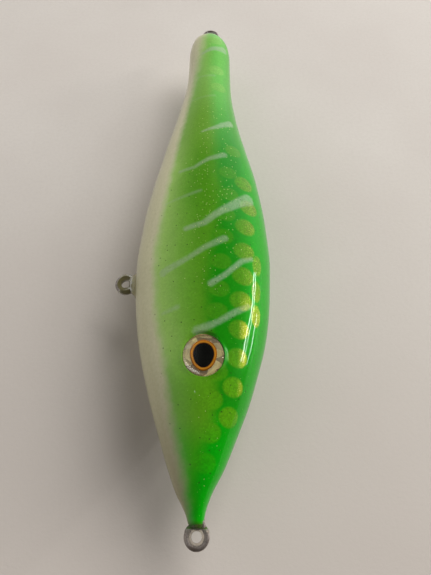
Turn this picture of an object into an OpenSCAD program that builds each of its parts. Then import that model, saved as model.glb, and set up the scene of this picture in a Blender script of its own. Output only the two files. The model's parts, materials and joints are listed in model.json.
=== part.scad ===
// Through-wire topwater lure: a two-piece wooden body on a stainless wire, lying on its left flank.
// The lure frame has +Y from nose to tail, +X towards the back and +Z out of the right flank, and
// starts at the centre of the nose ring. place() then puts the origin under the middle of the part.

/* [Body] */
// Distance from the nose tip of the painted body to its tail end
body_len = 191; // [150:1:240]
// Height of the back over the wire, at the fattest place
back_h = 23.1; // [18:0.1:28]
// Depth of the belly under the wire, at the fattest place
belly_h = 23.5; // [18:0.1:28]
// Half thickness of the body, wire to flank, at the fattest place
flank_h = 16.8; // [13:0.1:21]
// Length of the rounding at the tail end
tail_round = 6.5; // [4:0.5:9]
// Size of the flat left in the middle of the tail end, as a share of the tail
tail_face = 0.6; // [0.5:0.05:0.8]
// Thickness of the paint and clear resin over the wood
coat_t = 0.8; // [0.6:0.1:1]
// Thickness of the glue between the two wooden halves
glue_t = 0.2; // [0.1:0.05:0.4]

/* [Wire] */
// Diameter of the stainless wire
wire_d = 1.5; // [1.2:0.1:1.8]
// Inside diameter of each wire ring
ring_id = 4.3; // [3.8:0.1:6]
// Turns of wire that close each end ring
wraps = 3; // [2:1:4]
// Epoxy around the wire in its channel
bed_t = 0.4; // [0.2:0.1:0.6]
// Distance from the nose tip to the centre line of the belly hanger
hanger_from_nose = 70.5; // [60:0.5:80]
// Gap between the belly hanger's upper eye and the main wire inside it
hanger_play = 0.2; // [0.1:0.05:0.4]
// Depth that the belly ring's wire sinks into the painted surface
hanger_sink = 0.15; // [0:0.05:0.3]

/* [Resin at the rings] */
// Diameter of the hole drilled through the resin inside each ring
eye_hole_d = 2.9; // [2.4:0.1:3.1]
// Thickness of the resin web inside each ring
web_t = 1.3; // [1:0.1:1.4]
// Resin over the wire wraps
wrap_cover = 0.2; // [0.15:0.05:0.4]
// Radius of the resin foot around the belly hanger
foot_r = 4.4; // [4:0.1:5]
// Depth of the resin foot under the painted surface
foot_depth = 1.6; // [1.4:0.1:2.4]

/* [Ballast] */
// Diameter of the lead slugs
slug_d = 8; // [6:0.5:9]
// Length of each lead slug
slug_len = 7; // [5:0.5:10]
// Distance from the main wire to the inner end of each slug
slug_depth = 4; // [3:0.5:6]
// Distance from the nose tip to the front slug
slug_front = 50; // [44:1:56]
// Distance from the nose tip to the middle slug
slug_middle = 88; // [82:1:96]
// Distance from the nose tip to the rear slug
slug_rear = 112; // [106:1:118]

/* [Eyes] */
// Diameter of the foil eye discs
eye_d = 12; // [10:0.5:13]
// Distance from the nose tip to the eye centre
eye_from_nose = 42.5; // [38:0.5:50]
// Height of the eye centre over the wire
eye_up = 1; // [-2:0.5:3]
// Tilt of each eye towards the nose, in degrees
eye_tilt = 4; // [0:0.5:8]
// Depth of the eye's seat under the painted surface
eye_seat = 1.4; // [1.2:0.1:2]
// Thickness of the foil disc
foil_t = 0.4; // [0.3:0.1:0.6]
// Thickness of the printed iris and pupil
print_t = 0.2; // [0.1:0.05:0.3]
// Height of the clear dome over the foil
dome_h = 1.8; // [1.2:0.1:2.4]
// Straight edge of the clear dome
dome_edge = 0.6; // [0.4:0.1:0.8]
// Width of the pupil
pupil_w = 6; // [5:0.1:6.5]
// Width of the coloured iris around the pupil
iris_band = 0.9; // [0.5:0.1:1.2]
// Gap between an eye and the edge of its seat
eye_gap = 0.05; // [0.05:0.05:0.2]

/* [Hidden] */

$fn = 64;
eps = 0.01;

// Shape of the body: [share of its length, back, belly, flank], each as a share of its largest
profile = [
    [0.00, 0.095, 0.135, 0.160],
    [0.03, 0.182, 0.273, 0.290],
    [0.06, 0.320, 0.375, 0.425],
    [0.10, 0.464, 0.500, 0.590],
    [0.20, 0.770, 0.760, 0.860],
    [0.30, 0.952, 0.940, 0.970],
    [0.40, 1.000, 1.000, 1.000],
    [0.50, 0.940, 0.940, 0.970],
    [0.60, 0.796, 0.802, 0.870],
    [0.70, 0.585, 0.632, 0.710],
    [0.80, 0.430, 0.462, 0.545],
    [0.86, 0.395, 0.392, 0.470],
    [0.94, 0.376, 0.385, 0.430],
    [1.00, 0.305, 0.330, 0.385]
];
sides = 28;
long_steps = 36;
round_steps = 5;

// Wire sizes
wire_r = wire_d / 2;
ring_r = (ring_id + wire_d) / 2;
ring_out = ring_r + wire_r;
wrap_r = 0.95 * wire_d;
wrap_pitch = 1.05 * wire_d;
first_wrap = ring_r + wire_d;
hanger_drop = ring_out - hanger_sink;
strand_turn = 25;
wraps_end = first_wrap + (wraps - 1) * wrap_pitch + wire_r;
wrap_out = wrap_r + wire_r;
channel_r = wire_r + bed_t;
cover_r = wrap_out + wrap_cover;

// Places along the lure, from the centre of the nose ring
body_start = first_wrap + 0.6;
body_end = body_start + body_len;
eye_span = body_end + first_wrap - 0.4;
wood_start = wraps_end + bed_t + 0.1;
wood_end = body_end - coat_t;
hanger_y = body_start + hanger_from_nose;
eye_y = body_start + eye_from_nose;
neck_in = ring_r - wire_r - 0.25;

// Cubic interpolation of one column of the profile, which never overshoots its points
function chord(c, i) = (profile[i + 1][c] - profile[i][c]) / (profile[i + 1][0] - profile[i][0]);
function step_len(i) = profile[i + 1][0] - profile[i][0];
function inner_slope(d0, d1, h0, h1) =
    d0 * d1 <= 0 ? 0 : 3 * (h0 + h1) / ((2 * h1 + h0) / d0 + (h1 + 2 * h0) / d1);
function slope(c, i) =
    i == 0 ? chord(c, 0)
    : i == len(profile) - 1 ? chord(c, i - 1)
    : inner_slope(chord(c, i - 1), chord(c, i), step_len(i - 1), step_len(i));
function hermite(a, b, ma, mb, u) =
    (a * (1 + 2 * u) + ma * u) * pow(1 - u, 2) + (b * (3 - 2 * u) - mb * (1 - u)) * pow(u, 2);
function span_of(t) = max([for (i = [0 : len(profile) - 2]) profile[i][0] <= t ? i : 0]);
function share(c, t) =
    let (i = span_of(t), h = step_len(i))
    hermite(profile[i][c], profile[i + 1][c], slope(c, i) * h, slope(c, i + 1) * h,
            (t - profile[i][0]) / h);

// Rounding of the tail end, as a share of the section
function tail_share(y) =
    let (u = max(0, 1 - (body_end - y) / tail_round))
    tail_face + (1 - tail_face) * sqrt(max(0, 1 - u * u));

// Half sizes of the painted body at a place along it: back, belly and flank
function half_sizes(y) =
    let (t = (y - body_start) / body_len)
    tail_share(y) * [back_h * share(1, t), belly_h * share(2, t), flank_h * share(3, t)];

// One oval section, set in from the painted surface
function section(y, inset) =
    let (h = half_sizes(y) - inset * [1, 1, 1])
    [for (k = [0 : sides - 1])
        let (a = 360 * k / sides)
        [cos(a) * (cos(a) > 0 ? h[0] : h[1]), y, sin(a) * h[2]]];

// Places of the sections between two ends, close together where the tail rounds over
function stations(from, to) =
    let (bend = body_end - tail_round)
    concat([for (i = [0 : long_steps]) from + (bend - from) * i / long_steps],
           [for (i = [1 : round_steps]) bend + (to - bend) * sin(90 * i / round_steps)]);

outer_stations = stations(body_start, body_end);
back_most = max([for (y = outer_stations) half_sizes(y)[0]]);
flank_most = max([for (y = outer_stations) half_sizes(y)[2]]);
belly_at_hanger = half_sizes(hanger_y)[1];
hanger_x = -belly_at_hanger - hanger_drop;
belly_most = max([for (y = outer_stations) half_sizes(y)[1]]);
low_most = max(ring_out - hanger_x, belly_most);

// Height of the painted flank over the eye centre
eye_over = half_sizes(eye_y)[2] * sqrt(1 - pow(eye_up / half_sizes(eye_y)[0], 2));
seat_z = eye_over - eye_seat;

// Outline of the pupil: an egg whose small end points to the nose
egg_step = 10;
function egg(grow) =
    [for (a = [0 : egg_step : 359])
        let (wide = pupil_w / 2 + grow, tall = pupil_w * 0.6 + grow)
        [wide * cos(a) * (1 + 0.1 * sin(a)), tall * sin(a)]];

module place() {
    translate([(low_most - back_most) / 2, -eye_span / 2, flank_most]) children();
}

// A solid swept through oval sections
module oval_body(from, to, inset) {
    rows = stations(from, to);
    points = [for (y = rows) each section(y, inset)];
    last = (len(rows) - 1) * sides;
    walls = [for (r = [0 : len(rows) - 2], k = [0 : sides - 1])
        let (a = r * sides + k, b = r * sides + (k + 1) % sides)
        each [[a, b, b + sides], [a, b + sides, a + sides]]];
    front = [for (k = [sides - 1 : -1 : 0]) k];
    back = [for (k = [0 : sides - 1]) last + k];
    polyhedron(points = points, faces = concat(walls, [front, back]), convexity = 4);
}

module wood() { oval_body(wood_start, wood_end, coat_t); }

module wire_along_y(from, to, r) {
    translate([0, from, 0]) rotate([-90, 0, 0]) cylinder(r = r, h = to - from);
}

module wire_ring(r) {
    rotate_extrude() translate([r, 0]) circle(r = wire_r);
}

// Ring, and the wraps that close it around the wire
module end_ring() {
    wire_ring(ring_r);
    for (i = [0 : wraps - 1])
        translate([0, first_wrap + i * wrap_pitch, 0]) rotate([90, 0, 0]) wire_ring(wrap_r);
}

module at_tail() {
    translate([0, eye_span, 0]) mirror([0, 1, 0]) children();
}

module main_wire() {
    end_ring();
    at_tail() end_ring();
    wire_along_y(ring_r, eye_span - ring_r, wire_r);
}

// Two strands that run up from the belly ring, turned a little across it as a twisted pair is, and
// close round the main wire
module hanger() {
    upper_r = wire_d + hanger_play;
    strand_start = hanger_x + ring_r - wire_r / 2;
    translate([hanger_x, hanger_y, 0]) wire_ring(ring_r);
    translate([0, hanger_y, 0]) rotate([90, 0, 0]) wire_ring(upper_r);
    for (side = [-1, 1])
        translate([strand_start, hanger_y, 0]) rotate([strand_turn, 0, 0])
            translate([0, side * 0.46 * wire_d, 0]) rotate([0, 90, 0])
                cylinder(r = wire_r, h = -strand_start - upper_r);
}

// Room in the wood for the main wire, the hanger's strands and its upper eye
module wire_room() {
    eye_room = 1.5 * wire_d + hanger_play + bed_t;
    wire_along_y(wood_start, eye_span - wraps_end - bed_t, channel_r);
    wire_along_y(hanger_y - channel_r, hanger_y + channel_r, eye_room);
    slot_end = -belly_at_hanger + foot_depth;
    translate([slot_end, hanger_y - 2 * channel_r, -channel_r])
        cube([-slot_end, 4 * channel_r, 2 * channel_r]);
}

// Resin built up round the wraps at the nose, and the hollow that it fills
module nose_form() {
    rotate([-90, 0, 0]) rotate_extrude()
        polygon([[0, neck_in], [1.1, neck_in], [1.9, neck_in + 0.4], [cover_r, ring_r + 0.2],
                 [cover_r, first_wrap - 0.2], [cover_r + 0.3, body_start], [cover_r, body_start],
                 [cover_r, wood_start], [0, wood_start]]);
}

// The same at the tail, where the ring sits closer to the wood
module tail_form() {
    at_tail() rotate([-90, 0, 0]) rotate_extrude()
        polygon([[0, neck_in], [1.1, neck_in], [1.9, neck_in + 0.4], [cover_r, ring_r + 0.2],
                 [cover_r, wraps_end + bed_t], [0, wraps_end + bed_t]]);
}

// Resin foot round the belly hanger, from inside the ring to a seat in the wood
module belly_form() {
    translate([hanger_x, hanger_y, 0]) rotate([0, 90, 0]) rotate_extrude()
        polygon([[0, neck_in], [1.1, neck_in], [1.9, neck_in + 0.4], [cover_r, ring_r + 0.1],
                 [foot_r - 1, hanger_drop], [foot_r, hanger_drop + 0.5],
                 [foot_r, hanger_drop + foot_depth], [0, hanger_drop + foot_depth]]);
}

// Web of resin inside a ring, before its hole is drilled
module web() {
    cylinder(r = ring_r - 0.2, h = web_t, center = true);
}

module ring_hole() {
    cylinder(d = eye_hole_d, h = 4 * wire_d, center = true);
}

module slug_room(y, from, to) {
    translate([-to, y, 0]) rotate([0, 90, 0]) cylinder(d = slug_d, h = to - from);
}

module slug(y) { slug_room(y, slug_depth, slug_depth + slug_len); }

module all_slug_rooms() {
    for (from_nose = [slug_front, slug_middle, slug_rear])
        slug_room(body_start + from_nose, slug_depth, belly_h + 1);
}

// Filler between a slug and the skin of the wood
module filler(y) {
    intersection() {
        slug_room(y, slug_depth + slug_len, belly_h + 1);
        wood();
    }
}

// Puts a flat eye part on its seat in the right flank
module on_eye_seat(z = 0) {
    translate([eye_up, eye_y, seat_z]) rotate([eye_tilt, 0, 0]) translate([0, 0, z]) children();
}

module eye_room() {
    on_eye_seat() cylinder(d = eye_d + 2 * eye_gap, h = 3 * eye_seat);
}

module both_eye_rooms() {
    eye_room();
    mirror([0, 0, 1]) eye_room();
}

module on_left() { mirror([0, 0, 1]) children(); }

module wood_rooms() {
    wire_room();
    nose_form();
    tail_form();
    belly_form();
    all_slug_rooms();
    both_eye_rooms();
}

// One half of the wood, on the +Z side of the glue line
module half_of_wood(side) {
    difference() {
        wood();
        translate([-2 * belly_h, -body_len, side > 0 ? glue_t / 2 - 4 * flank_h : -glue_t / 2])
            cube([4 * belly_h, 3 * body_len, 4 * flank_h]);
        wood_rooms();
    }
}

module foil() { on_eye_seat() cylinder(d = eye_d, h = foil_t); }

module iris() {
    on_eye_seat(foil_t) linear_extrude(print_t) difference() {
        polygon(egg(iris_band));
        polygon(egg(0));
    }
}

module pupil() { on_eye_seat(foil_t) linear_extrude(print_t) polygon(egg(0)); }

// Clear cap with a straight edge and a spherical top, hollowed for the iris and pupil
module dome() {
    cap_h = dome_h - dome_edge;
    cap_r = (pow(eye_d / 2, 2) + pow(cap_h, 2)) / (2 * cap_h);
    on_eye_seat(foil_t) difference() {
        intersection() {
            cylinder(d = eye_d, h = dome_h, $fn = 200);
            translate([0, 0, dome_h - cap_r]) sphere(r = cap_r, $fn = 200);
        }
        translate([0, 0, -eps]) linear_extrude(print_t + eps) polygon(egg(iris_band));
    }
}

module body_half_right() { color("burlywood") place() half_of_wood(1); }

module body_half_left() { color("burlywood") place() half_of_wood(-1); }

module glue_line() {
    color("khaki") place() difference() {
        intersection() {
            wood();
            translate([-2 * belly_h, 0, -glue_t / 2]) cube([4 * belly_h, eye_span, glue_t]);
        }
        wood_rooms();
    }
}

module through_wire() { color("slategray") place() main_wire(); }

module belly_hanger() { color("slategray") place() hanger(); }

module wire_bedding() {
    color("wheat") place() difference() {
        wire_room();
        main_wire();
        hanger();
    }
}

module ballast_front() { color("dimgray") place() slug(body_start + slug_front); }

module ballast_middle() { color("dimgray") place() slug(body_start + slug_middle); }

module ballast_rear() { color("dimgray") place() slug(body_start + slug_rear); }

module filler_front() { color("tan") place() filler(body_start + slug_front); }

module filler_middle() { color("tan") place() filler(body_start + slug_middle); }

module filler_rear() { color("tan") place() filler(body_start + slug_rear); }

module painted_coat() {
    color("limegreen") place() difference() {
        oval_body(body_start, body_end, 0);
        wood();
        nose_form();
        tail_form();
        belly_form();
        both_eye_rooms();
    }
}

module nose_resin() {
    color("olivedrab") place() difference() {
        union() {
            nose_form();
            web();
        }
        main_wire();
        ring_hole();
    }
}

module belly_resin() {
    color("beige") place() difference() {
        union() {
            belly_form();
            translate([hanger_x, hanger_y, 0]) web();
        }
        hanger();
        translate([hanger_x, hanger_y, 0]) ring_hole();
    }
}

module tail_resin() {
    color("yellowgreen") place() difference() {
        union() {
            tail_form();
            at_tail() web();
        }
        main_wire();
        at_tail() ring_hole();
    }
}

module eye_foil_right() { color("silver") place() foil(); }

module eye_iris_right() { color("darkorange") place() iris(); }

module eye_pupil_right() { color("black") place() pupil(); }

module eye_dome_right() { color("aliceblue") place() dome(); }

module eye_foil_left() { color("silver") place() on_left() foil(); }

module eye_iris_left() { color("darkorange") place() on_left() iris(); }

module eye_pupil_left() { color("black") place() on_left() pupil(); }

module eye_dome_left() { color("aliceblue") place() on_left() dome(); }

body_half_right();
body_half_left();
glue_line();
through_wire();
belly_hanger();
wire_bedding();
ballast_front();
ballast_middle();
ballast_rear();
filler_front();
filler_middle();
filler_rear();
painted_coat();
nose_resin();
belly_resin();
tail_resin();
eye_foil_right();
eye_iris_right();
eye_pupil_right();
eye_dome_right();
eye_foil_left();
eye_iris_left();
eye_pupil_left();
eye_dome_left();
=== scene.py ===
import json
import math
import random

import bpy
import numpy as np
from mathutils import Matrix, Vector

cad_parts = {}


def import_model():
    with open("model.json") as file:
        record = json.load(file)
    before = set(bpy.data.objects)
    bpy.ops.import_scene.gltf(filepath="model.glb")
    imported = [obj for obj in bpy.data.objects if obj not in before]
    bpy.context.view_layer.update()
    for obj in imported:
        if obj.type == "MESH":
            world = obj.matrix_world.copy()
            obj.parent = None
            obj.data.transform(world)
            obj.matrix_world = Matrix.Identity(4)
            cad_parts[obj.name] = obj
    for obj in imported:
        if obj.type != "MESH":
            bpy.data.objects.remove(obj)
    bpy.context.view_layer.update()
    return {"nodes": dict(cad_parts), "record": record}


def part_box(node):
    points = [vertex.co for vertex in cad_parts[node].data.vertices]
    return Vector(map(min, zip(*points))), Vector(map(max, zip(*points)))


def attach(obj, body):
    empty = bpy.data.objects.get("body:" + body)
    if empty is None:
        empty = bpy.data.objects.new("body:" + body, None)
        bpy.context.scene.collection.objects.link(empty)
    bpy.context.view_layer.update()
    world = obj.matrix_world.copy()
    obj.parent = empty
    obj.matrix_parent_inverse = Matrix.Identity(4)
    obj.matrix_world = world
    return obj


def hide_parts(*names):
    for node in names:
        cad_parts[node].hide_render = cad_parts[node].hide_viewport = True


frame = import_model()

# ---------------------------------------------------------------- sizes, in the lure's own millimetres
# The lure frame starts at the centre of the nose ring: x towards the back, y to the tail, z out of the
# right flank. world() turns a point of it into metres in the row frame.
MM = 0.001
MOUNTS = {m["name"]: m for m in frame["record"]["mounts"]}
NOSE_AT = np.array(MOUNTS["nose_eye"]["pos_m"])


def world(points):
    return NOSE_AT + MM * np.asarray(points, float)


def lure_box(node):
    low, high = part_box(node)
    return (np.array(low) - NOSE_AT) / MM, (np.array(high) - NOSE_AT) / MM


def mount_place(name):
    return (np.array(MOUNTS[name]["pos_m"]) - NOSE_AT) / MM


COAT_LOW, COAT_HIGH = lure_box("painted_coat")
WIRE_LOW, WIRE_HIGH = lure_box("through_wire")
FOIL_LOW, FOIL_HIGH = lure_box("eye_foil_right")
DOME_LOW, DOME_HIGH = lure_box("eye_dome_right")
BODY_START, BODY_END = COAT_LOW[1], COAT_HIGH[1]
BODY_LEN = BODY_END - BODY_START
BACK, BELLY, FLANK = COAT_HIGH[0], -COAT_LOW[0], COAT_HIGH[2]
RING_OUT = WIRE_HIGH[0]
WIRE_R = WIRE_HIGH[2] / 2.9  # the closed turns behind the ring stand out 2.9 wire radii
RING_R = RING_OUT - WIRE_R
HOLE_R = MOUNTS["nose_eye"]["dims"]["r_mm"]
TAIL_RING = mount_place("tail_eye")
BELLY_RING = mount_place("belly_eye")
TAIL_ROUND = 6.5  # how far along the lure the tail end is rounded over
EVEN_REACH = 3.0  # how far along the lure the outline is evened out

# Outline of the body: [share of its length, back, belly, flank], each as a share of its largest
PROFILE = [
    (0.00, 0.095, 0.135, 0.160),
    (0.03, 0.182, 0.273, 0.290),
    (0.06, 0.320, 0.375, 0.425),
    (0.10, 0.464, 0.500, 0.590),
    (0.20, 0.770, 0.760, 0.860),
    (0.30, 0.952, 0.940, 0.970),
    (0.40, 1.000, 1.000, 1.000),
    (0.50, 0.940, 0.940, 0.970),
    (0.60, 0.796, 0.802, 0.870),
    (0.70, 0.585, 0.632, 0.710),
    (0.80, 0.430, 0.462, 0.545),
    (0.86, 0.395, 0.392, 0.470),
    (0.94, 0.378, 0.385, 0.430),
    (1.00, 0.305, 0.330, 0.385),
]
# Painted neck over the wire wraps: [place along the lure, back, belly, flank] in millimetres
NECK = [
    (2.5, 1.50, 1.80, 1.25),
    (3.0, 1.95, 2.45, 1.85),
    (3.9, 2.05, 2.80, 2.35),
]

# Eyes: the foil disc's centre, radius and tilt towards the nose
EYE_TILT = math.radians(4)
EYE_AT = (FOIL_LOW + FOIL_HIGH) / 2
EYE_R = (FOIL_HIGH[0] - FOIL_LOW[0]) / 2
FOIL_T = 0.4
DOME_H = 1.8
PUPIL_W = 5.75
IRIS_BAND = 0.9


# ---------------------------------------------------------------- small tools for meshes
def smooth_curve(xs, ys, at):
    """Cubic interpolation that never overshoots its points."""
    xs, ys, at = (np.asarray(v, float) for v in (xs, ys, at))
    h = np.diff(xs)
    d = np.diff(ys) / h
    slope = np.concatenate([d[:1], np.zeros(len(d) - 1), d[-1:]])
    for i in range(1, len(d)):
        if d[i - 1] * d[i] > 0:
            before, after = 2 * h[i] + h[i - 1], h[i] + 2 * h[i - 1]
            slope[i] = (before + after) / (before / d[i - 1] + after / d[i])
    k = np.clip(np.searchsorted(xs, at, side="right") - 1, 0, len(xs) - 2)
    u = (at - xs[k]) / h[k]
    a, b, ma, mb = ys[k], ys[k + 1], slope[k] * h[k], slope[k + 1] * h[k]
    return (a * (1 + 2 * u) + ma * u) * (1 - u) ** 2 + (b * (3 - 2 * u) - mb * (1 - u)) * u ** 2


def smoothstep(low, high, value):
    t = np.clip((value - low) / (high - low), 0, 1)
    return t * t * (3 - 2 * t)


def new_piece(name, points, faces, material, smooth=True):
    """A mesh object from points in the lure frame, with its normals outward."""
    mesh = bpy.data.meshes.new(name)
    mesh.from_pydata([tuple(p) for p in world(points)], [], faces)
    mesh.validate()
    mesh.update()
    mesh.materials.append(material)
    for polygon in mesh.polygons:
        polygon.use_smooth = smooth
    piece = bpy.data.objects.new(name, mesh)
    bpy.context.scene.collection.objects.link(piece)
    return piece


def finish_piece(piece, node):
    """Fixes a piece to the lure and hides the CAD node that it replaces."""
    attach(piece, "root")
    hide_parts(node)


def add_attribute(piece, name, values, domain="POINT"):
    attribute = piece.data.attributes.new(name, "FLOAT", domain)
    attribute.data.foreach_set("value", np.asarray(values, np.float32))


def grid_faces(rows, columns, first=0):
    """Quads between rings of points, each ring closed on itself."""
    faces = []
    for r in range(rows - 1):
        for c in range(columns):
            a = first + r * columns + c
            b = first + r * columns + (c + 1) % columns
            faces.append((a, b, b + columns, a + columns))
    return faces


def tube(points, radius, sides=20):
    """Points and faces of a round wire along a path, with both ends closed and a little rounded."""
    path = np.asarray(points, float)
    tangents = np.gradient(path, axis=0)
    tangents /= np.linalg.norm(tangents, axis=1)[:, None]
    normal = np.cross(tangents[0], (0.31, 0.17, 0.94))
    normal /= np.linalg.norm(normal)
    rings = []
    ends = {0: 0.8, 1: 0.96, len(path) - 2: 0.96, len(path) - 1: 0.8}
    turn = 2 * np.pi * np.arange(sides) / sides
    for i, (place, tangent) in enumerate(zip(path, tangents)):
        normal = normal - tangent * np.dot(normal, tangent)
        normal /= np.linalg.norm(normal)
        side = np.cross(tangent, normal)
        r = radius * ends.get(i, 1)
        rings.append(place + r * (np.outer(np.cos(turn), normal) + np.outer(np.sin(turn), side)))
    faces = grid_faces(len(path), sides)
    last = (len(path) - 1) * sides
    faces.append(tuple(range(sides - 1, -1, -1)))
    faces.append(tuple(range(last, last + sides)))
    return np.concatenate(rings), faces


def even_path(points, step):
    """The same path with its points a fixed step apart, rounded where its pieces meet."""
    path = np.asarray(points, float)
    for _ in range(2):
        gaps = np.linalg.norm(np.diff(path, axis=0), axis=1)
        gone = np.concatenate([[0], np.cumsum(gaps)])
        count = max(8, int(gone[-1] / step))
        at = np.linspace(0, gone[-1], count)
        path = np.stack([np.interp(at, gone, path[:, k]) for k in range(3)], axis=1)
        for _ in range(3):
            path[1:-1] = 0.25 * path[:-2] + 0.5 * path[1:-1] + 0.25 * path[2:]
    return path


# ---------------------------------------------------------------- small tools for materials
def rgb(red, green, blue, alpha=1.0):
    """A display colour, 0 to 255, as the linear colour that a shader takes."""
    def linear(value):
        value /= 255
        return value / 12.92 if value <= 0.04045 else ((value + 0.055) / 1.055) ** 2.4
    return (linear(red), linear(green), linear(blue), alpha)


class Paint:
    """The nodes of one material or world, with a short call for each kind of node."""

    def __init__(self, name, store=bpy.data.materials):
        self.owner = store.new(name)
        self.owner.use_nodes = True
        self.tree = self.owner.node_tree
        self.tree.nodes.clear()
        self.coordinates = self.add("TexCoord").outputs
        self.place = self.coordinates["Object"]

    def add(self, kind, feeds=None, **settings):
        """A new node; feeds gives its inputs, by name or number, a value or another node's socket."""
        node = self.tree.nodes.new("ShaderNode" + kind)
        for key, value in settings.items():
            setattr(node, key, value)
        for key, value in (feeds or {}).items():
            if isinstance(value, bpy.types.NodeSocket):
                self.tree.links.new(value, node.inputs[key])
            else:
                node.inputs[key].default_value = value
        return node

    def math(self, operation, *values, clamp=False):
        feeds = dict(enumerate(values))
        return self.add("Math", feeds, operation=operation, use_clamp=clamp).outputs[0]

    def times(self, one, other):
        return self.math("MULTIPLY", one, other)

    def scaled(self, value, factor, added):
        return self.math("MULTIPLY_ADD", value, factor, added)

    def plus(self, one, other):
        return self.math("ADD", one, other)

    def minus(self, one, other):
        return self.math("SUBTRACT", one, other)

    def most(self, one, other):
        return self.math("MAXIMUM", one, other)

    def below(self, value, limit):
        return self.math("LESS_THAN", value, limit)

    def fade(self, value, low, high, start=0.0, end=1.0):
        """start where value is low, end where it is high, and a smooth step between."""
        feeds = {"Value": value, "From Min": low, "From Max": high, "To Min": start, "To Max": end}
        return self.add("MapRange", feeds, interpolation_type="SMOOTHSTEP").outputs[0]

    def mix(self, share, under, over, blend="MIX"):
        """Two colours mixed; 6 and 7 are the node's colour inputs and 2 its colour output."""
        feeds = {"Factor": share, 6: under, 7: over}
        return self.add("Mix", feeds, data_type="RGBA", blend_type=blend).outputs[2]

    def ramp(self, value, stops):
        """A colour for each value; stops are (value, colour), within one range."""
        low, high = stops[0][0], stops[-1][0]
        share = self.add("MapRange", {"Value": value, "From Min": low, "From Max": high}).outputs[0]
        node = self.add("ValToRGB", {0: share})
        elements = node.color_ramp.elements
        while len(elements) < len(stops):
            elements.new(0.5)
        for element, (at, colour) in zip(elements, stops):
            element.position = (at - low) / (high - low)
            element.color = colour
        return node.outputs[0]

    def attribute(self, name):
        return self.add("Attribute", attribute_name=name).outputs["Fac"]

    def flat(self, along, girth):
        """A place on the skin laid out flat, in millimetres."""
        return self.add("CombineXYZ", {0: along, 1: girth}).outputs[0]

    def stretched(self, *scale):
        return self.add("Mapping", {"Vector": self.place, "Scale": scale}).outputs[0]

    def noise(self, scale, detail=2.0, rough=0.5, vector=None):
        feeds = {"Vector": vector or self.place, "Scale": scale, "Detail": detail, "Roughness": rough}
        return self.add("TexNoise", feeds).outputs[0]

    def cells(self, scale, vector=None, dimensions="3D"):
        feeds = {"Vector": vector or self.place, "Scale": scale}
        return self.add("TexVoronoi", feeds, voronoi_dimensions=dimensions)

    def bump(self, height, strength, distance):
        return self.add("Bump", {"Height": height, "Strength": strength, "Distance": distance}).outputs[0]

    def shader(self, **inputs):
        """Ends the material in one Principled shader and returns the material."""
        feeds = {key.replace("_", " "): value for key, value in inputs.items()}
        self.add("OutputMaterial", {"Surface": self.add("BsdfPrincipled", feeds).outputs[0]})
        return self.owner


# ---------------------------------------------------------------- materials
# Gold spots that the green is sprayed round. Each group: half length along the lure, half width round
# the body, strength, and the spots' centres (place along the lure, girth from the flank line)
SPOT_ROWS = [
    (2.9, 3.7, 1.0, [(109.5, 14.3), (99.5, 16), (91, 14.3), (81.8, 13.7), (73, 13.2), (64.7, 12.5)]),
    (2.7, 3.3, 1.0, [(55.7, 11.8), (47.3, 11.4), (39, 10.2), (30.8, 9.2)]),
    (2.6, 3.2, 0.55, [(189, 2.5), (170, 3.2), (159.5, 4.3), (124, 10.3), (112.5, 8), (103, 8.5), (94.5, 7.3),
                      (86, 6.6), (77, 5.8), (67.8, 5.3), (60.5, 4.8), (43, 5), (18.7, 2), (108, 1),
                      (98, 0.5)]),
    (2.6, 3.2, 0.75, [(35.2, 3.6), (26.5, 3.3)]),
    (3.3, 1.9, 0.8, [(78, 18.8), (69, 18.3), (61, 18.2)]),
]
# Pale brush strokes: strength, then points (place along the lure, girth from the flank line, half width)
STROKES = [
    (0.8, [(180, -3, 0.5), (183, 1, 1.1), (184.3, 6.5, 1.7)]),
    (0.35, [(165.5, -4.5, 0.3), (166.3, 2, 0.6)]),
    (0.25, [(151.5, -6, 0.3), (153.8, 3, 0.5)]),
    (0.75, [(132, -1.5, 0.3), (135, 3.5, 0.9), (139.5, 9.5, 1.5)]),
    (0.6, [(112.8, -9, 0.6), (114, -4, 0.6), (118, 1, 0.8), (120.7, 6.5, 1.1)]),
    (0.4, [(99.5, -13.5, 0.3), (101.5, -7, 0.5), (103.5, -1.5, 0.5)]),
    (0.7, [(88.5, -5.5, 0.8), (90.5, 0, 0.9), (96, 6, 1.2), (99.5, 11, 1.7), (103, 16, 2.2)]),
    (0.6, [(73.5, -12.5, 1.3), (78, -4.5, 0.8), (82.5, 2, 0.9), (85.3, 7, 1.1)]),
    (0.75, [(69.2, 3, 0.9), (72.5, 7, 0.8), (78, 13, 0.8), (79.7, 16.5, 0.6)]),
    (0.45, [(60.3, -12, 0.5), (61.8, -7.5, 0.8)]),
    (0.65, [(54.5, -1.3, 1.2), (57.3, 5.5, 0.8), (61, 10.5, 0.9), (63.3, 15, 0.8)]),
]
# Lower edges of the sprayed colours: (place along the lure, girth from the flank line)
BELLY_EDGE = [(2, -1.8), (10, -3), (20, -5), (30, -8), (40, -9.8), (50, -12.2), (62, -15.2),
              (80, -16.5), (100, -14.5), (120, -11.9), (140, -9.2), (160, -6.6), (180, -3.8), (196, -2)]
SPRAY_EDGE = [(2, -2.5), (14, -1.8), (22, 0.5), (30, 3.5), (40, 4.5), (50, 3), (60, 1.5), (75, 1.5),
              (90, 4), (102, 5), (116, 3.5), (140, 2), (165, 0.5), (196, -1)]


def spot_mask(paint, along, girth):
    """The strength of the spot at a place, with a soft edge, and 0 between the spots."""
    mask = None
    for half_length, half_width, strength, places in SPOT_ROWS:
        for at, up in places:
            length = paint.times(paint.minus(along, at), 1 / half_length)
            across = paint.times(paint.minus(girth, up), 1 / half_width)
            square = paint.scaled(length, length, paint.times(across, across))
            one = paint.fade(square, 1.4, 0.7, 0.0, strength)
            mask = one if mask is None else paint.most(mask, one)
    return mask


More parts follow.
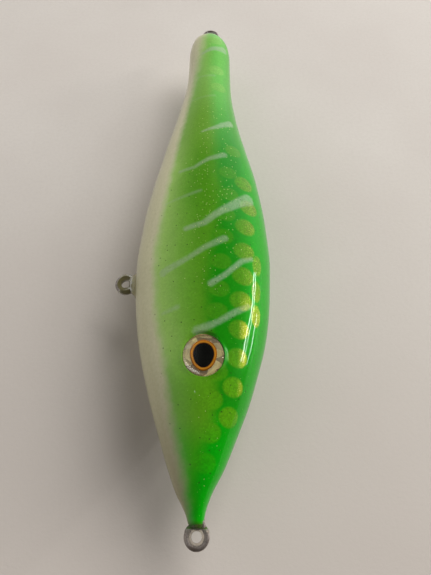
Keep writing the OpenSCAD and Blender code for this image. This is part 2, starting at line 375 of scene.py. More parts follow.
def stroke_mask(paint, along, girth):
    """How much of the pale stroke colour lies on top, from 0 to 1."""
    mask = None
    for strength, points in STROKES:
        for (y0, g0, start), (y1, g1, end) in zip(points, points[1:]):
            length = math.hypot(y1 - y0, g1 - g0)
            ty, tg = (y1 - y0) / length, (g1 - g0) / length
            dy = paint.minus(along, y0)
            dg = paint.minus(girth, g0)
            run = paint.scaled(dy, ty, paint.times(dg, tg))
            side = paint.scaled(dy, tg, paint.times(dg, -ty))
            share = paint.math("DIVIDE", run, length, clamp=True)
            over = paint.scaled(share, -length, run)
            square = paint.scaled(side, side, paint.times(over, over))
            half = paint.scaled(share, end - start, start)
            depth = paint.minus(paint.math("SQRT", square), half)
            one = paint.fade(depth, 0.6, -0.6, 0.0, strength)
            mask = one if mask is None else paint.most(mask, one)
    return mask


def flecks(paint, flat, per_mm, share, size):
    """1 on tiny round flakes scattered over the paint."""
    cells = paint.cells(per_mm, flat, "2D")
    chosen = paint.below(cells.outputs["Color"], share)
    return paint.times(chosen, paint.below(cells.outputs["Distance"], size))


def belly_and_flank(paint, flat, along, rise):
    """Cream belly, darkened towards the nose as painted shade, that turns into the olive and green of the
    flank.
    """
    milky = paint.noise(0.9, 2, 0.5, flat)
    cream = paint.ramp(milky, [(0.3, rgb(203, 198, 158)), (0.7, rgb(211, 206, 168))])
    # Painted shade: the cream darkens to brown towards the nose, where the belly faces away from the light.
    cream = paint.mix(paint.fade(along, 56, 5, 0.0, 0.75), cream, rgb(140, 130, 96))
    spread = paint.times(rise, paint.fade(along, 84, 112, 1.0, 1.7))
    flank = paint.ramp(spread, [
        (0, rgb(170, 198, 118)), (3, rgb(146, 188, 86)), (6, rgb(128, 174, 70)), (9, rgb(110, 163, 50)),
        (12, rgb(95, 153, 36)), (16, rgb(79, 141, 23)), (24, rgb(71, 135, 15)), (36, rgb(73, 137, 18))])
    flank = paint.mix(paint.fade(along, 112, 134, 0.0, 0.7), flank, rgb(102, 152, 40))
    flank = paint.mix(paint.fade(along, 136, 180), flank, rgb(132, 184, 86))
    flank = paint.mix(paint.fade(along, 54, 36, 0.0, 0.75), flank, rgb(84, 152, 2))
    flank = paint.mix(paint.fade(along, 32, 20, 0.0, 0.8), flank, rgb(50, 166, 0))
    edge = paint.times(rise, paint.fade(along, 16, 60, 0.7, 1.0))
    edge = paint.times(edge, paint.fade(along, 140, 184, 1.0, 0.6))
    return paint.mix(paint.fade(edge, -2.2, 1.8), cream, flank)


def back_green(paint, along, girth):
    """The green sprayed on the back: deep in the middle, paler to the tail and vivid at the nose, and
    lighter towards the back ridge as painted light from the low side window.
    """
    # Painted light: the green lightens from girth 10 to 18, where the side window lights the back more.
    green = paint.mix(paint.fade(girth, 10, 18), rgb(20, 128, 2), rgb(20, 149, 6))
    tail_green = paint.mix(paint.fade(girth, 4, 10), rgb(98, 177, 66), rgb(76, 158, 48))
    green = paint.mix(paint.fade(along, 112, 176), green, tail_green)
    return paint.mix(paint.fade(along, 40, 22), green, rgb(0, 160, 0))


def mica_grain(paint, flat, spots, rise):
    """A grey close to 1 that lightens and darkens the paint grain by grain, most of all in the spots."""
    mica = paint.cells(2.4, flat, "2D")
    amount = paint.scaled(spots, 0.26, paint.fade(rise, -1, 6, 0.05, 0.2))
    grain = paint.scaled(paint.minus(mica.outputs["Color"], 0.5), amount, 1.0)
    return paint.add("CombineColor", {0: grain, 1: grain, 2: grain}).outputs[0]


def glitter(paint, flat, along, girth, rise):
    """Bright flakes in the clear coat, thickest in loose crowds on the middle of the flank."""
    far_along = paint.math("ABSOLUTE", paint.minus(along, 106))
    far_round = paint.math("ABSOLUTE", paint.minus(girth, 2.5))
    near = paint.times(paint.fade(far_along, 56, 8, 0.15, 1.0), paint.fade(far_round, 12, 3, 0.1, 1.0))
    crowd = paint.times(paint.fade(paint.noise(0.12, 3, 0.6, flat), 0.36, 0.6, 0.15, 1.0), near)
    bright = paint.fade(paint.noise(2.2, 0, 0.5, flat), 0.35, 0.7, 0.35, 1.0)
    fine = paint.times(flecks(paint, flat, 1.5, 0.14, 0.11), 0.4)
    flakes = paint.most(flecks(paint, flat, 0.56, crowd, 0.075), fine)
    return paint.times(paint.times(flakes, bright), paint.fade(rise, 0, 4))


def pinholes(paint, flat, along, rise):
    """Tiny dark pinholes in the clear coat of the front half."""
    holes = paint.times(flecks(paint, flat, 0.33, 0.32, 0.065), paint.fade(along, 128, 110))
    return paint.times(holes, paint.fade(rise, -3, 1, 0.1, 0.75))


def painted_spot_highlight(paint, spots, along, girth):
    """Painted highlight: pale gold on the back half of the spots behind the eye, where the window's streak
    passes over them.
    """
    stretch = paint.times(paint.fade(along, 72, 54), paint.fade(along, 28, 36))
    return paint.times(paint.times(stretch, spots), paint.fade(girth, 11, 14.5))


def lure_paint():
    """Cream belly, sprayed greens, gold spots, pale strokes and glitter under clear resin, with painted
    highlights and glints on the spots, painted light on the back and painted shade towards the nose.
    """
    paint = Paint("lure_paint")
    along, girth = paint.attribute("along"), paint.attribute("girth")
    flat = paint.flat(along, girth)
    cloud = paint.scaled(paint.noise(0.26, 3, 0.6, flat), 2.4, -1.2)
    fuzz = paint.scaled(paint.noise(1.6, 2, 0.7, flat), 1.0, -0.5)
    sway = paint.scaled(paint.noise(0.12, 1, 0.5, flat), 1.6, -0.8)
    rise = paint.plus(paint.attribute("rise"), cloud)
    sprayed = paint.plus(paint.attribute("sprayed"), cloud)

    spots = spot_mask(paint, along, paint.plus(girth, fuzz))
    masked = paint.times(spots, paint.fade(along, 14, 24, 0.4, 0.95))
    spray = paint.times(paint.fade(sprayed, -2.5, 3.2), paint.minus(1.0, masked))
    colour = paint.mix(spray, belly_and_flank(paint, flat, along, rise), back_green(paint, along, girth))
    # The spots' gold is partly their own paint and partly a painted highlight: it grows towards each spot's
    # back edge, the side that faces the window light.
    gold_and_sheen = paint.times(spots, paint.fade(girth, 11, 18, 0.0, 0.9))
    gold_and_sheen = paint.times(gold_and_sheen, paint.fade(along, 96, 118, 1.0, 0.35))
    colour = paint.mix(paint.times(gold_and_sheen, 0.5), colour, rgb(136, 174, 34))

    drawn_along = paint.plus(along, fuzz)
    drawn_girth = paint.plus(girth, paint.plus(sway, fuzz))
    worn = paint.fade(paint.noise(1.1, 3, 0.6, flat), 0.25, 0.65, 0.45, 0.75)
    stroke = paint.times(stroke_mask(paint, drawn_along, drawn_girth), worn)
    colour = paint.mix(stroke, colour, rgb(158, 174, 146))

    colour = paint.mix(1.0, colour, mica_grain(paint, flat, spots, rise), "MULTIPLY")
    flakes = glitter(paint, flat, along, girth, rise)
    colour = paint.mix(flakes, colour, rgb(238, 246, 160))
    colour = paint.mix(pinholes(paint, flat, along, rise), colour, rgb(38, 58, 18))
    # Painted highlight: a pale gold glow on the spots behind the eye, under the window's streak.
    spot_highlight = painted_spot_highlight(paint, spots, along, girth)
    colour = paint.mix(paint.times(spot_highlight, 0.5), colour, rgb(214, 206, 58))
    # Painted glints: bright flecks on the gold, thickest under the painted highlight.
    painted_glints = paint.most(paint.times(gold_and_sheen, 0.35), spot_highlight)
    painted_glints = paint.times(flecks(paint, flat, 1.9, 0.42, 0.28), painted_glints)
    colour = paint.mix(painted_glints, colour, rgb(236, 232, 128))
    colour = paint.mix(paint.fade(along, 4.6, 2.8, 0.0, 0.6), colour, rgb(66, 74, 22))

    pearl = paint.scaled(gold_and_sheen, 0.5, paint.fade(rise, -1, 6, 0.0, 0.12))
    grit = paint.bump(paint.noise(2.2, 1, 0.5, flat), paint.times(gold_and_sheen, 0.9), 0.0003)
    return paint.shader(
        Base_Color=colour, Metallic=paint.most(pearl, paint.times(flakes, 0.8)),
        Roughness=0.34, Specular_IOR_Level=0.1, Normal=grit,
        Coat_Weight=0.7, Coat_Roughness=0.015, Coat_IOR=1.45,
        Coat_Normal=paint.bump(paint.noise(110, 2), 0.2, 0.0005))


def wire_metal():
    """Dull grey stainless wire, drawn along its length, with a brown cast."""
    paint = Paint("wire_metal")
    drawn = paint.noise(2600, 3, 0.65)
    stain = paint.noise(420, 3, 0.6)
    colour = paint.ramp(drawn, [(0.3, rgb(116, 106, 100)), (0.7, rgb(172, 161, 153))])
    colour = paint.mix(paint.fade(stain, 0.5, 0.72, 0.0, 0.8), colour, rgb(98, 84, 72))
    return paint.shader(
        Base_Color=colour, Metallic=0.7, Roughness=paint.fade(drawn, 0.3, 0.7, 0.34, 0.5),
        Normal=paint.bump(drawn, 0.25, 0.00004))


def collar_resin(name, tint, deep, turbid, clear):
    """Clear resin with the wire's shade in it, from deep at the body to tint inside the ring."""
    paint = Paint(name)
    depth = paint.attribute("depth")
    mottled = paint.noise(900, 3, 0.6)
    colour = paint.mix(paint.fade(depth, 0.1, 0.75), tint, deep)
    colour = paint.mix(paint.fade(mottled, 0.4, 0.75, 0.0, 0.35), colour, turbid)
    return paint.shader(
        Base_Color=colour, Roughness=paint.fade(mottled, 0.3, 0.8, 0.03, 0.12), IOR=1.52,
        Transmission_Weight=paint.fade(depth, 0.1, 0.8, clear, 0.15 * clear),
        Normal=paint.bump(mottled, 0.15, 0.00006))


def foil_metal():
    """Pressed foil in pale gold and silver shards."""
    paint = Paint("eye_foil")
    shard = paint.cells(310).outputs["Color"]
    sliver = paint.attribute("shard")
    fine = paint.noise(5200, 2)
    colour = paint.ramp(shard, [
        (0.3, rgb(148, 128, 92)), (0.4, rgb(212, 196, 142)), (0.5, rgb(236, 224, 170)),
        (0.6, rgb(232, 232, 212)), (0.7, rgb(250, 236, 170))])
    colour = paint.mix(paint.fade(sliver, 0.7, 1.0, 0.0, 0.5), colour, rgb(196, 176, 136))
    colour = paint.mix(paint.fade(fine, 0.35, 0.7, 0.0, 0.2), colour, rgb(206, 190, 152))
    return paint.shader(
        Base_Color=colour, Metallic=0.1, Roughness=paint.fade(fine, 0.3, 0.7, 0.42, 0.55),
        Normal=paint.bump(fine, 0.2, 0.00003))


def iris_ink():
    """Amber rings printed round the pupil."""
    paint = Paint("eye_iris")
    out = paint.attribute("outward")
    wobble = paint.scaled(paint.noise(2400, 2), 0.16, -0.08)
    colour = paint.ramp(paint.plus(out, wobble), [
        (0.0, rgb(120, 66, 6)), (0.16, rgb(206, 128, 14)), (0.45, rgb(236, 166, 40)),
        (0.7, rgb(216, 128, 10)), (0.92, rgb(180, 98, 4)), (1.0, rgb(206, 154, 70))])
    return paint.shader(Base_Color=colour, Roughness=0.34, Specular_IOR_Level=0.1)


def pupil_ink():
    """Matte black print; its shine comes from the dome."""
    paint = Paint("eye_pupil")
    colour = paint.ramp(paint.noise(1800, 3), [(0.3, rgb(5, 6, 4)), (0.7, rgb(14, 16, 10))])
    return paint.shader(Base_Color=colour, Roughness=0.4, Specular_IOR_Level=0.0)


def eye_resin():
    """Water-clear dome with the faint haze of handling."""
    paint = Paint("eye_resin")
    haze = paint.noise(1500, 3)
    return paint.shader(
        Base_Color=rgb(252, 250, 244), IOR=1.5, Transmission_Weight=1.0,
        Roughness=paint.fade(haze, 0.5, 0.9, 0.0, 0.02))


def wood():
    """Straight-grained pale hardwood, its grain along the lure."""
    paint = Paint("wood")
    grain = paint.noise(420, 4, 0.6, paint.stretched(1, 0.06, 1))
    feeds = {"Vector": paint.stretched(1, 0.12, 0.6), "Scale": 130, "Distortion": 3.5}
    rings = paint.add("TexWave", feeds, wave_type="BANDS", bands_direction="X")
    colour = paint.ramp(grain, [(0.3, rgb(196, 158, 108)), (0.7, rgb(222, 190, 142))])
    colour = paint.mix(paint.fade(rings.outputs[0], 0.55, 1, 0, 0.45), colour, rgb(168, 124, 76))
    return paint.shader(
        Base_Color=colour, Roughness=paint.fade(grain, 0.3, 0.7, 0.55, 0.75),
        Normal=paint.bump(grain, 0.4, 0.0001))


def speckled(name, dark, pale, scale, metallic=0.0, rough=(0.4, 0.6), depth=0.0001):
    """A cast or poured stuff with a mottled colour: glue, filler, epoxy or lead."""
    paint = Paint(name)
    mottled = paint.noise(scale, 4, 0.62)
    pits = paint.cells(scale * 2.4).outputs["Distance"]
    colour = paint.ramp(mottled, [(0.3, dark), (0.7, pale)])
    colour = paint.mix(paint.fade(pits, 0.16, 0.05, 0.0, 0.5), colour, dark)
    return paint.shader(
        Base_Color=colour, Metallic=metallic, Roughness=paint.fade(mottled, 0.3, 0.7, *rough),
        Normal=paint.bump(mottled, 0.4, depth))


def table_top():
    """Off-white laminate with a faint mottle, a few dark specks and painted shade that darkens it towards
    -y, where the light falls off.
    """
    paint = Paint("table_top")
    broad = paint.noise(14, 3)
    colour = paint.ramp(broad, [(0.35, rgb(209, 201, 193)), (0.65, rgb(215, 208, 200))])
    # Painted shade: the table darkens towards -y, as the light falls off away from the window.
    lengthwise = paint.add("SeparateXYZ", {0: paint.place}).outputs[1]
    colour = paint.mix(paint.fade(lengthwise, 0.1, -0.16, 0.0, 0.7), colour, rgb(190, 179, 170))
    fine = paint.noise(700, 3, 0.7)
    colour = paint.mix(paint.fade(fine, 0.35, 0.75, 0.0, 0.25), colour, rgb(196, 187, 178))
    specks = paint.cells(26)
    round_speck = paint.fade(specks.outputs["Distance"], 0.022, 0.012)
    speck = paint.times(paint.below(specks.outputs["Color"], 0.3), round_speck)
    colour = paint.mix(paint.times(speck, 0.6), colour, rgb(112, 118, 100))
    return paint.shader(
        Base_Color=colour, Roughness=0.5, Specular_IOR_Level=0.25, Normal=paint.bump(fine, 0.25, 0.0002))


# ---------------------------------------------------------------- the painted skin
SIDES = 112  # points round the body
STATION_STEP = 1.0  # millimetres between the rings of points
EYE_HOLE = 8.4  # radius of the skin cut out round an eye


def body_table():
    """Rows of the whole painted outline: place along the lure, back, belly and flank, in millimetres."""
    rows = [np.array(row) for row in NECK]
    for share, back, belly, flank in PROFILE:
        rows.append(np.array([BODY_START + share * BODY_LEN, back * BACK, belly * BELLY, flank * FLANK]))
    return np.array(rows)


BODY_ROWS = body_table()


def half_sizes(at):
    """Back, belly and flank half sizes at places along the lure, evened out as by sanding and rounded
    over at the tail end."""
    at = np.atleast_1d(np.asarray(at, float))
    reach = EVEN_REACH * smoothstep(4, 30, at) * smoothstep(BODY_END - 4, BODY_END - 24, at)
    u = np.clip(1 - (BODY_END - at) / TAIL_ROUND, 0, 1)
    sizes = []
    for column, end_share in ((1, 0.52), (2, 0.86), (3, 0.62)):
        even = sum(weight / 9 * smooth_curve(BODY_ROWS[:, 0], BODY_ROWS[:, column], at + k * reach)
                   for k, weight in ((-2, 1), (-1, 2), (0, 3), (1, 2), (2, 1)))
        sizes.append(even * (end_share + (1 - end_share) * np.sqrt(1 - u * u)))
    return sizes


def hand_made(x, y, z):
    """The slight unevenness of a hand-sanded, hand-coated body, in millimetres."""
    return 0.035 * (np.sin(0.21 * y + 0.1 * x) + np.sin(0.37 * y + 0.25 * z + 1.3)) - 0.07


def skin_points(at, turn):
    """x and z of the painted surface at a place along the lure, for turns round it."""
    back, belly, flank = half_sizes(at)
    x = np.cos(turn) * np.where(np.cos(turn) > 0, back, belly)
    z = np.sin(turn) * flank
    return x, z


def flank_height(x, y):
    """Height of the painted flank over the middle plane."""
    back, belly, flank = half_sizes(y)
    half = np.where(x > 0, back, belly)
    return flank * np.sqrt(np.clip(1 - (x / half) ** 2, 0, 1))


def girth_of(points):
    """Distance round the surface from the flank line, positive towards the back, summed in short steps."""
    x, y = points[:, 0], points[:, 1]
    back, belly, flank = half_sizes(y)
    half = np.where(x > 0, back, belly)
    turn = np.arcsin(np.clip(np.abs(x) / half, 0, 1))
    steps = 24
    total = np.zeros(len(x))
    for k in range(steps):
        a = turn * (k + 0.5) / steps
        total += turn / steps * np.hypot(half * np.cos(a), flank * np.sin(a))
    return np.sign(x) * total


def skin_stations():
    """Places along the lure that get a ring of points, close together at the neck and the tail end."""
    bend = BODY_END - TAIL_ROUND
    straight = np.arange(NECK[0][0], bend, STATION_STEP)
    neck = [2.62, 2.78, 3.0, 3.25, 4.0, 4.7]
    rounded = bend + TAIL_ROUND * np.sin(np.linspace(0, np.pi / 2, 14))
    return np.unique(np.round(np.concatenate([straight, neck, rounded]), 3))


def eye_plane(y):
    """Height of the eye's seat plane over the middle plane."""
    seat = EYE_AT[2] - FOIL_T / 2 * math.cos(EYE_TILT)
    return seat + math.tan(EYE_TILT) * (y - EYE_AT[1])


# Resin rim round an eye: (radius, share of the way from the painted surface up to the rim's height)
EYE_RIM_H = 0.86
EYE_RIM = [(8.1, 0.0), (7.6, 0.0), (7.25, 0.03), (7.0, 0.12), (6.8, 0.28), (6.63, 0.48), (6.48, 0.7),
           (6.35, 0.88), (6.24, 0.98), (6.16, 1.0)]
# Inside of the rim down to the seat: (radius, height over the seat)
EYE_SEAT = [(6.11, 0.78), (6.09, 0.55), (6.08, 0.05), (5.6, 0.0), (3.0, 0.0)]


def add_eye_seat(points, faces, side):
    """Cuts the skin round an eye and fills it with a resin rim and a round, flat seat."""
    places = np.array(points)
    off = np.hypot(places[:, 0] - EYE_AT[0], places[:, 1] - EYE_AT[1])
    inside = (off < EYE_HOLE) & (places[:, 2] * side > 0)
    kept = [f for f in faces if not any(inside[i] for i in f)]
    cut = [f for f in faces if any(inside[i] for i in f)]
    edges = {pair for face in cut for pair in zip(face, face[1:] + face[:1])}
    border = {a: b for a, b in edges if (b, a) not in edges}
    first = min(border)
    loop = [first]
    while border[loop[-1]] != first:
        loop.append(border[loop[-1]])
    angles = [math.atan2(places[i][1] - EYE_AT[1], places[i][0] - EYE_AT[0]) for i in loop]
    previous = loop
    slope = [(radius, leave, EYE_RIM_H) for radius, leave in EYE_RIM]
    seat = [(radius, 1.0, height) for radius, height in EYE_SEAT]
    for radius, leave, height in slope + seat:
        ring = []
        for angle in angles:
            x = EYE_AT[0] + radius * math.cos(angle)
            y = EYE_AT[1] + radius * math.sin(angle)
            surface = float(flank_height(np.array([x]), y)[0]) + float(hand_made(x, y, side))
            z = (1 - leave) * surface + leave * (eye_plane(y) + height)
            ring.append(len(points))
            points.append((x, y, side * z))
        count = len(loop)
        for k in range(count):
            kept.append((previous[k], previous[(k + 1) % count], ring[(k + 1) % count], ring[k]))
        previous = ring
    kept.append(tuple(previous))
    return kept


def painted_skin(material):
    """The whole painted and resin-coated outside of the body, one closed surface."""
    stations = skin_stations()
    turns = 2 * np.pi * np.arange(SIDES) / SIDES
    points = []
    for at in stations:
        x, z = skin_points(at, turns)
        grow = 1 + hand_made(x, at, z) / np.hypot(x, z)
        points.extend(zip(x * grow, np.full(SIDES, at), z * grow))
    faces = [tuple(reversed(f)) for f in grid_faces(len(stations), SIDES)]
    faces.append(tuple(range(SIDES)))
    last = (len(stations) - 1) * SIDES
    faces.append(tuple(range(last + SIDES - 1, last - 1, -1)))
    for side in (1, -1):
        faces = add_eye_seat(points, faces, side)
    used = sorted({i for f in faces for i in f})
    renamed = {old: new for new, old in enumerate(used)}
    places = np.array(points)[used]
    faces = [tuple(renamed[i] for i in f) for f in faces]
    piece = new_piece("painted_skin", places, faces, material)
    girth = girth_of(places)
    along = places[:, 1]
    edge = smooth_curve(*zip(*BELLY_EDGE), along)
    spray = smooth_curve(*zip(*SPRAY_EDGE), along)
    add_attribute(piece, "along", along)
    add_attribute(piece, "girth", girth)
    add_attribute(piece, "rise", girth - edge)
    add_attribute(piece, "sprayed", girth - spray)
    finish_piece(piece, "painted_coat")


# ---------------------------------------------------------------- wires
def ring_arc(start, end, count=60):
    """Points of the ring between two angles from its neck, in degrees."""
    a = np.radians(np.linspace(start, end, count))
    return np.stack([-RING_R * np.sin(a), RING_R * np.cos(a), np.zeros(count)], axis=1)


def end_loop(length):
    """A wire that comes down its axis, goes round the ring and wraps back round itself three times."""
    wrap_r = 1.9 * WIRE_R
    first_wrap = RING_R + 2 * WIRE_R
    pitch = 2.1 * WIRE_R
    straight = [(0, y, 0) for y in np.linspace(length, first_wrap + 1.2, 30)]
    bend = [(-0.15, first_wrap + 0.4, 0), (-0.6, first_wrap - 0.5, 0)]
    ring = ring_arc(38, 322)
    turn = np.radians(np.linspace(-60, -60 + 360 * 3, 120))
    rise = first_wrap - 0.2 + pitch * (turn - turn[0]) / (2 * np.pi)
    helix = np.stack([-wrap_r * np.sin(turn), rise, wrap_r * np.cos(turn)], axis=1)
    return np.concatenate([straight, bend, ring, helix])


def through_wire(material):
    """One wire from the nose ring through the body to the tail ring, closed round itself at both ends."""
    half = TAIL_RING[1] / 2
    nose = end_loop(half)
    tail = end_loop(half) * (1, -1, 1) + TAIL_RING
    path = even_path(np.concatenate([tail[::-1], nose[1:]]), 0.3)
    points, faces = tube(path, WIRE_R)
    faces = [tuple(reversed(f)) for f in faces]
    piece = new_piece("through_wire_round", points, faces, material)
    finish_piece(piece, "through_wire")


def belly_hanger(material):
    """A ring whose two ends are twisted together up to an eye round the main wire."""
    strand_r = 0.92 * WIRE_R
    top = -BELLY_RING[0]
    eye_r = 2.25 * WIRE_R
    start, end = RING_R + 1.1, top - eye_r - 0.4
    rise = np.linspace(start, end, 90)
    turn = np.pi / 2 + (rise - start) * 2 * np.pi / 7
    one = np.stack([-strand_r * np.sin(turn), rise, strand_r * np.cos(turn)], axis=1)
    other = one * (-1, 1, -1)
    a = np.radians(np.linspace(190, 510, 60))
    eye = np.stack([np.zeros(60), top + eye_r * np.cos(a), eye_r * np.sin(a)], axis=1)
    path = np.concatenate([eye[::-1], one[::-1], ring_arc(40, 320), other])
    path = even_path(path, 0.3)
    path = np.stack([BELLY_RING[0] + path[:, 1], BELLY_RING[1] + path[:, 0], path[:, 2]], axis=1)
    points, faces = tube(path, WIRE_R)
    piece = new_piece("belly_hanger_round", points, faces, material)
    finish_piece(piece, "belly_hanger")


# ---------------------------------------------------------------- resin at the rings
def lathe(profile, sides=40):
    """A closed solid turned round +y from (radius, y) points, the first and last on the axis."""
    turn = 2 * np.pi * np.arange(sides) / sides
    points = [(0, profile[0][1], 0)]
    for radius, y in profile[1:-1]:
        points.extend((radius * math.cos(t), y, radius * math.sin(t)) for t in turn)
    points.append((0, profile[-1][1], 0))
    rows = len(profile) - 2
    faces = grid_faces(rows, sides, 1)
    last = len(points) - 1
    for c in range(sides):
        faces.append((0, 1 + (c + 1) % sides, 1 + c))
        faces.append((last, last - sides + c, last - sides + (c + 1) % sides))
    return np.array(points), faces


def web_ring(thickness, sides=64):
    """Resin inside the ring, round the drilled hole: a flat ring that thickens towards the wire."""
    profile = [(HOLE_R, -0.42), (HOLE_R, 0.42), (HOLE_R + 0.12, 0.5), (HOLE_R + 0.5, 0.5),
               (RING_R - 0.3, 0.62), (RING_R, 0.62), (RING_R, -0.62), (RING_R - 0.3, -0.62),
               (HOLE_R + 0.5, -0.5), (HOLE_R + 0.12, -0.5)]
    turn = 2 * np.pi * np.arange(sides) / sides
    points = [(r * math.cos(t), r * math.sin(t), h * thickness) for t in turn for r, h in profile]
    columns = len(profile)
    count = len(points)
    faces = []
    for k in range(sides):
        for c in range(columns):
            a, b = k * columns + c, k * columns + (c + 1) % columns
            faces.append((a, b, (b + columns) % count, (a + columns) % count))
    return np.array(points), faces


def ring_sleeve(reach, extra):
    """A thin coat of resin on the ring's wire, out to an angle from the neck."""
    return tube(ring_arc(-reach, reach, 50), WIRE_R + extra, 24)


def melt(name, solids):
    """One closed solid from overlapping ones, its corners melted together as resin is."""
    points, faces = [], []
    for some_points, some_faces in solids:
        faces.extend(tuple(i + len(points) for i in f) for f in some_faces)
        points.extend(map(tuple, some_points))
    mesh = bpy.data.meshes.new(name)
    mesh.from_pydata(points, [], faces)
    mesh.validate()
    piece = bpy.data.objects.new(name, mesh)
    bpy.context.scene.collection.objects.link(piece)
    remesh = piece.modifiers.new("join", "REMESH")
    remesh.mode = "VOXEL"
    remesh.voxel_size = 0.11
    smooth = piece.modifiers.new("melt", "SMOOTH")
    smooth.factor = 0.5
    smooth.iterations = 9
    shown = piece.evaluated_get(bpy.context.evaluated_depsgraph_get())
    melted = bpy.data.meshes.new_from_object(shown)
    count = len(melted.vertices)
    coordinates = np.empty(count * 3, np.float32)
    melted.vertices.foreach_get("co", coordinates)
    faces = [tuple(p.vertices) for p in melted.polygons]
    bpy.data.objects.remove(piece)
    bpy.data.meshes.remove(melted)
    return coordinates.reshape(-1, 3).astype(float), faces


def collar(name, solids, to_lure, depths, material, node):
    """A melted resin piece, built with its ring at the origin and its neck towards +y, then put in place.
    Its colour deepens between the two depths, which are measured from the ring's centre up the neck."""
    points, faces = melt(name, solids)
    piece = new_piece(name, to_lure(points), faces, material)
    add_attribute(piece, "depth", smoothstep(*depths, points[:, 1]))
    finish_piece(piece, node)


def nose_collar(material):
    """Resin over the nose wraps that runs into the ring."""
    neck = [(0, 1.9), (1.15, 2.0), (1.7, 2.5), (2.0, 3.2), (2.1, 4.4), (2.2, 6.0), (2.2, 8.6), (0, 8.6)]
    solids = [lathe(neck), web_ring(1.0), ring_sleeve(75, 0.07)]
    collar("nose_collar", solids, lambda p: p, (1.2, 2.7), material, "nose_resin")


def tail_collar(material):
    """The same at the tail, a little fuller."""
    neck = [(0, 1.9), (1.15, 2.0), (1.7, 2.4), (2.1, 2.9), (2.25, 3.6), (2.3, 5.0), (2.3, 8.6), (0, 8.6)]
    solids = [lathe(neck), web_ring(1.0), ring_sleeve(70, 0.07)]
    collar("tail_collar", solids, lambda p: p * (1, -1, 1) + TAIL_RING, (1.2, 3.4), material, "tail_resin")


def belly_foot(material):
    """Resin that runs from inside the belly ring up its neck and spreads on the painted belly."""
    foot = [(0, 1.3), (2.0, 1.4), (2.9, 1.8), (3.4, 2.4), (3.9, 3.0), (4.6, 3.5), (5.5, 3.9), (5.8, 4.5),
            (5.8, 5.4), (0, 5.4)]
    points, faces = lathe(foot)
    solids = [(points * (1, 1, 0.58), faces), web_ring(1.75), ring_sleeve(130, 0.2)]

    def to_lure(p):
        return np.stack([BELLY_RING[0] + p[:, 1], BELLY_RING[1] + p[:, 0], p[:, 2]], axis=1)
    collar("belly_foot", solids, to_lure, (1.6, 3.2), material, "belly_resin")


# ---------------------------------------------------------------- eyes
def on_eye(points, side):
    """Eye points, flat on z = 0 with the nose towards -y, put on the seat of one flank."""
    p = np.asarray(points, float)
    c, s = math.cos(EYE_TILT), math.sin(EYE_TILT)
    y = c * p[:, 1] - s * p[:, 2]
    z = s * p[:, 1] + c * p[:, 2]
    seat = EYE_AT[2] - FOIL_T / 2 * c
    return np.stack([EYE_AT[0] + p[:, 0], EYE_AT[1] + y, side * (seat + z)], axis=1)


def eye_piece(kind, side, points, faces, material, smooth=True):
    """One piece of the right (side 1) or left (side -1) eye, the left a mirror copy of the right."""
    name = "right" if side > 0 else "left"
    faces = faces if side > 0 else [tuple(reversed(f)) for f in faces]
    piece = new_piece(f"{kind}_{name}_shaped", on_eye(points, side), faces, material, smooth)
    finish_piece(piece, f"{kind}_{name}")
    return piece


def egg_ring(grow, count=72):
    """The pupil's outline, an egg whose small end points to the nose, grown outward."""
    a = 2 * np.pi * np.arange(count) / count
    wide, tall = PUPIL_W / 2 + grow, PUPIL_W * 0.6 + grow
    return np.stack([wide * np.cos(a) * (1 + 0.1 * np.sin(a)), tall * np.sin(a)], axis=1)


def stack_rings(rings):
    """A closed solid from rings of points (flat outline, height), the first and last filled."""
    columns = len(rings[0][0])
    points = [(x, y, z) for outline, z in rings for x, y in outline]
    faces = grid_faces(len(rings), columns)
    last = (len(rings) - 1) * columns
    faces.append(tuple(range(columns - 1, -1, -1)))
    faces.append(tuple(range(last, last + columns)))
    return points, faces


def circle(radius, count=72):
    a = 2 * np.pi * np.arange(count) / count
    return np.stack([radius * np.cos(a), radius * np.sin(a)], axis=1)


def eye_foil(side, material):
    """A disc of pressed foil: shards that each lean their own way."""
    dice = random.Random(7)
    edge, edge_count = EYE_R - 0.02, 72
    top, rows = [], []
    for radius, count in ((0, 1), (2.2, 8), (3.9, 14), (5.1, 20), (edge, edge_count)):
        row = []
        for k in range(count):
            jitter = 0 if count in (1, edge_count) else 0.35
            a = 2 * math.pi * (k + jitter * dice.uniform(-1, 1)) / count
            r = radius + (dice.uniform(-0.4, 0.4) if jitter else 0)
            row.append(len(top))
            lift = 0 if count == edge_count else dice.uniform(-0.11, 0.05)
            top.append((r * math.cos(a), r * math.sin(a), FOIL_T + lift))
        rows.append(row)
    faces = []
    for inner, outer in zip(rows, rows[1:]):
        faces.extend(zip_rings(top, inner, outer))
    base = len(top)
    top.extend((x, y, 0.0) for x, y in circle(edge, edge_count))
    rim = rows[-1]
    for k in range(edge_count):
        following = (k + 1) % edge_count
        faces.append((rim[k], base + k, base + following, rim[following]))
    faces.append(tuple(base + k for k in reversed(range(edge_count))))
    piece = eye_piece("eye_foil", side, top, faces, material, smooth=False)
    add_attribute(piece, "shard", [dice.random() for _ in piece.data.polygons], "FACE")


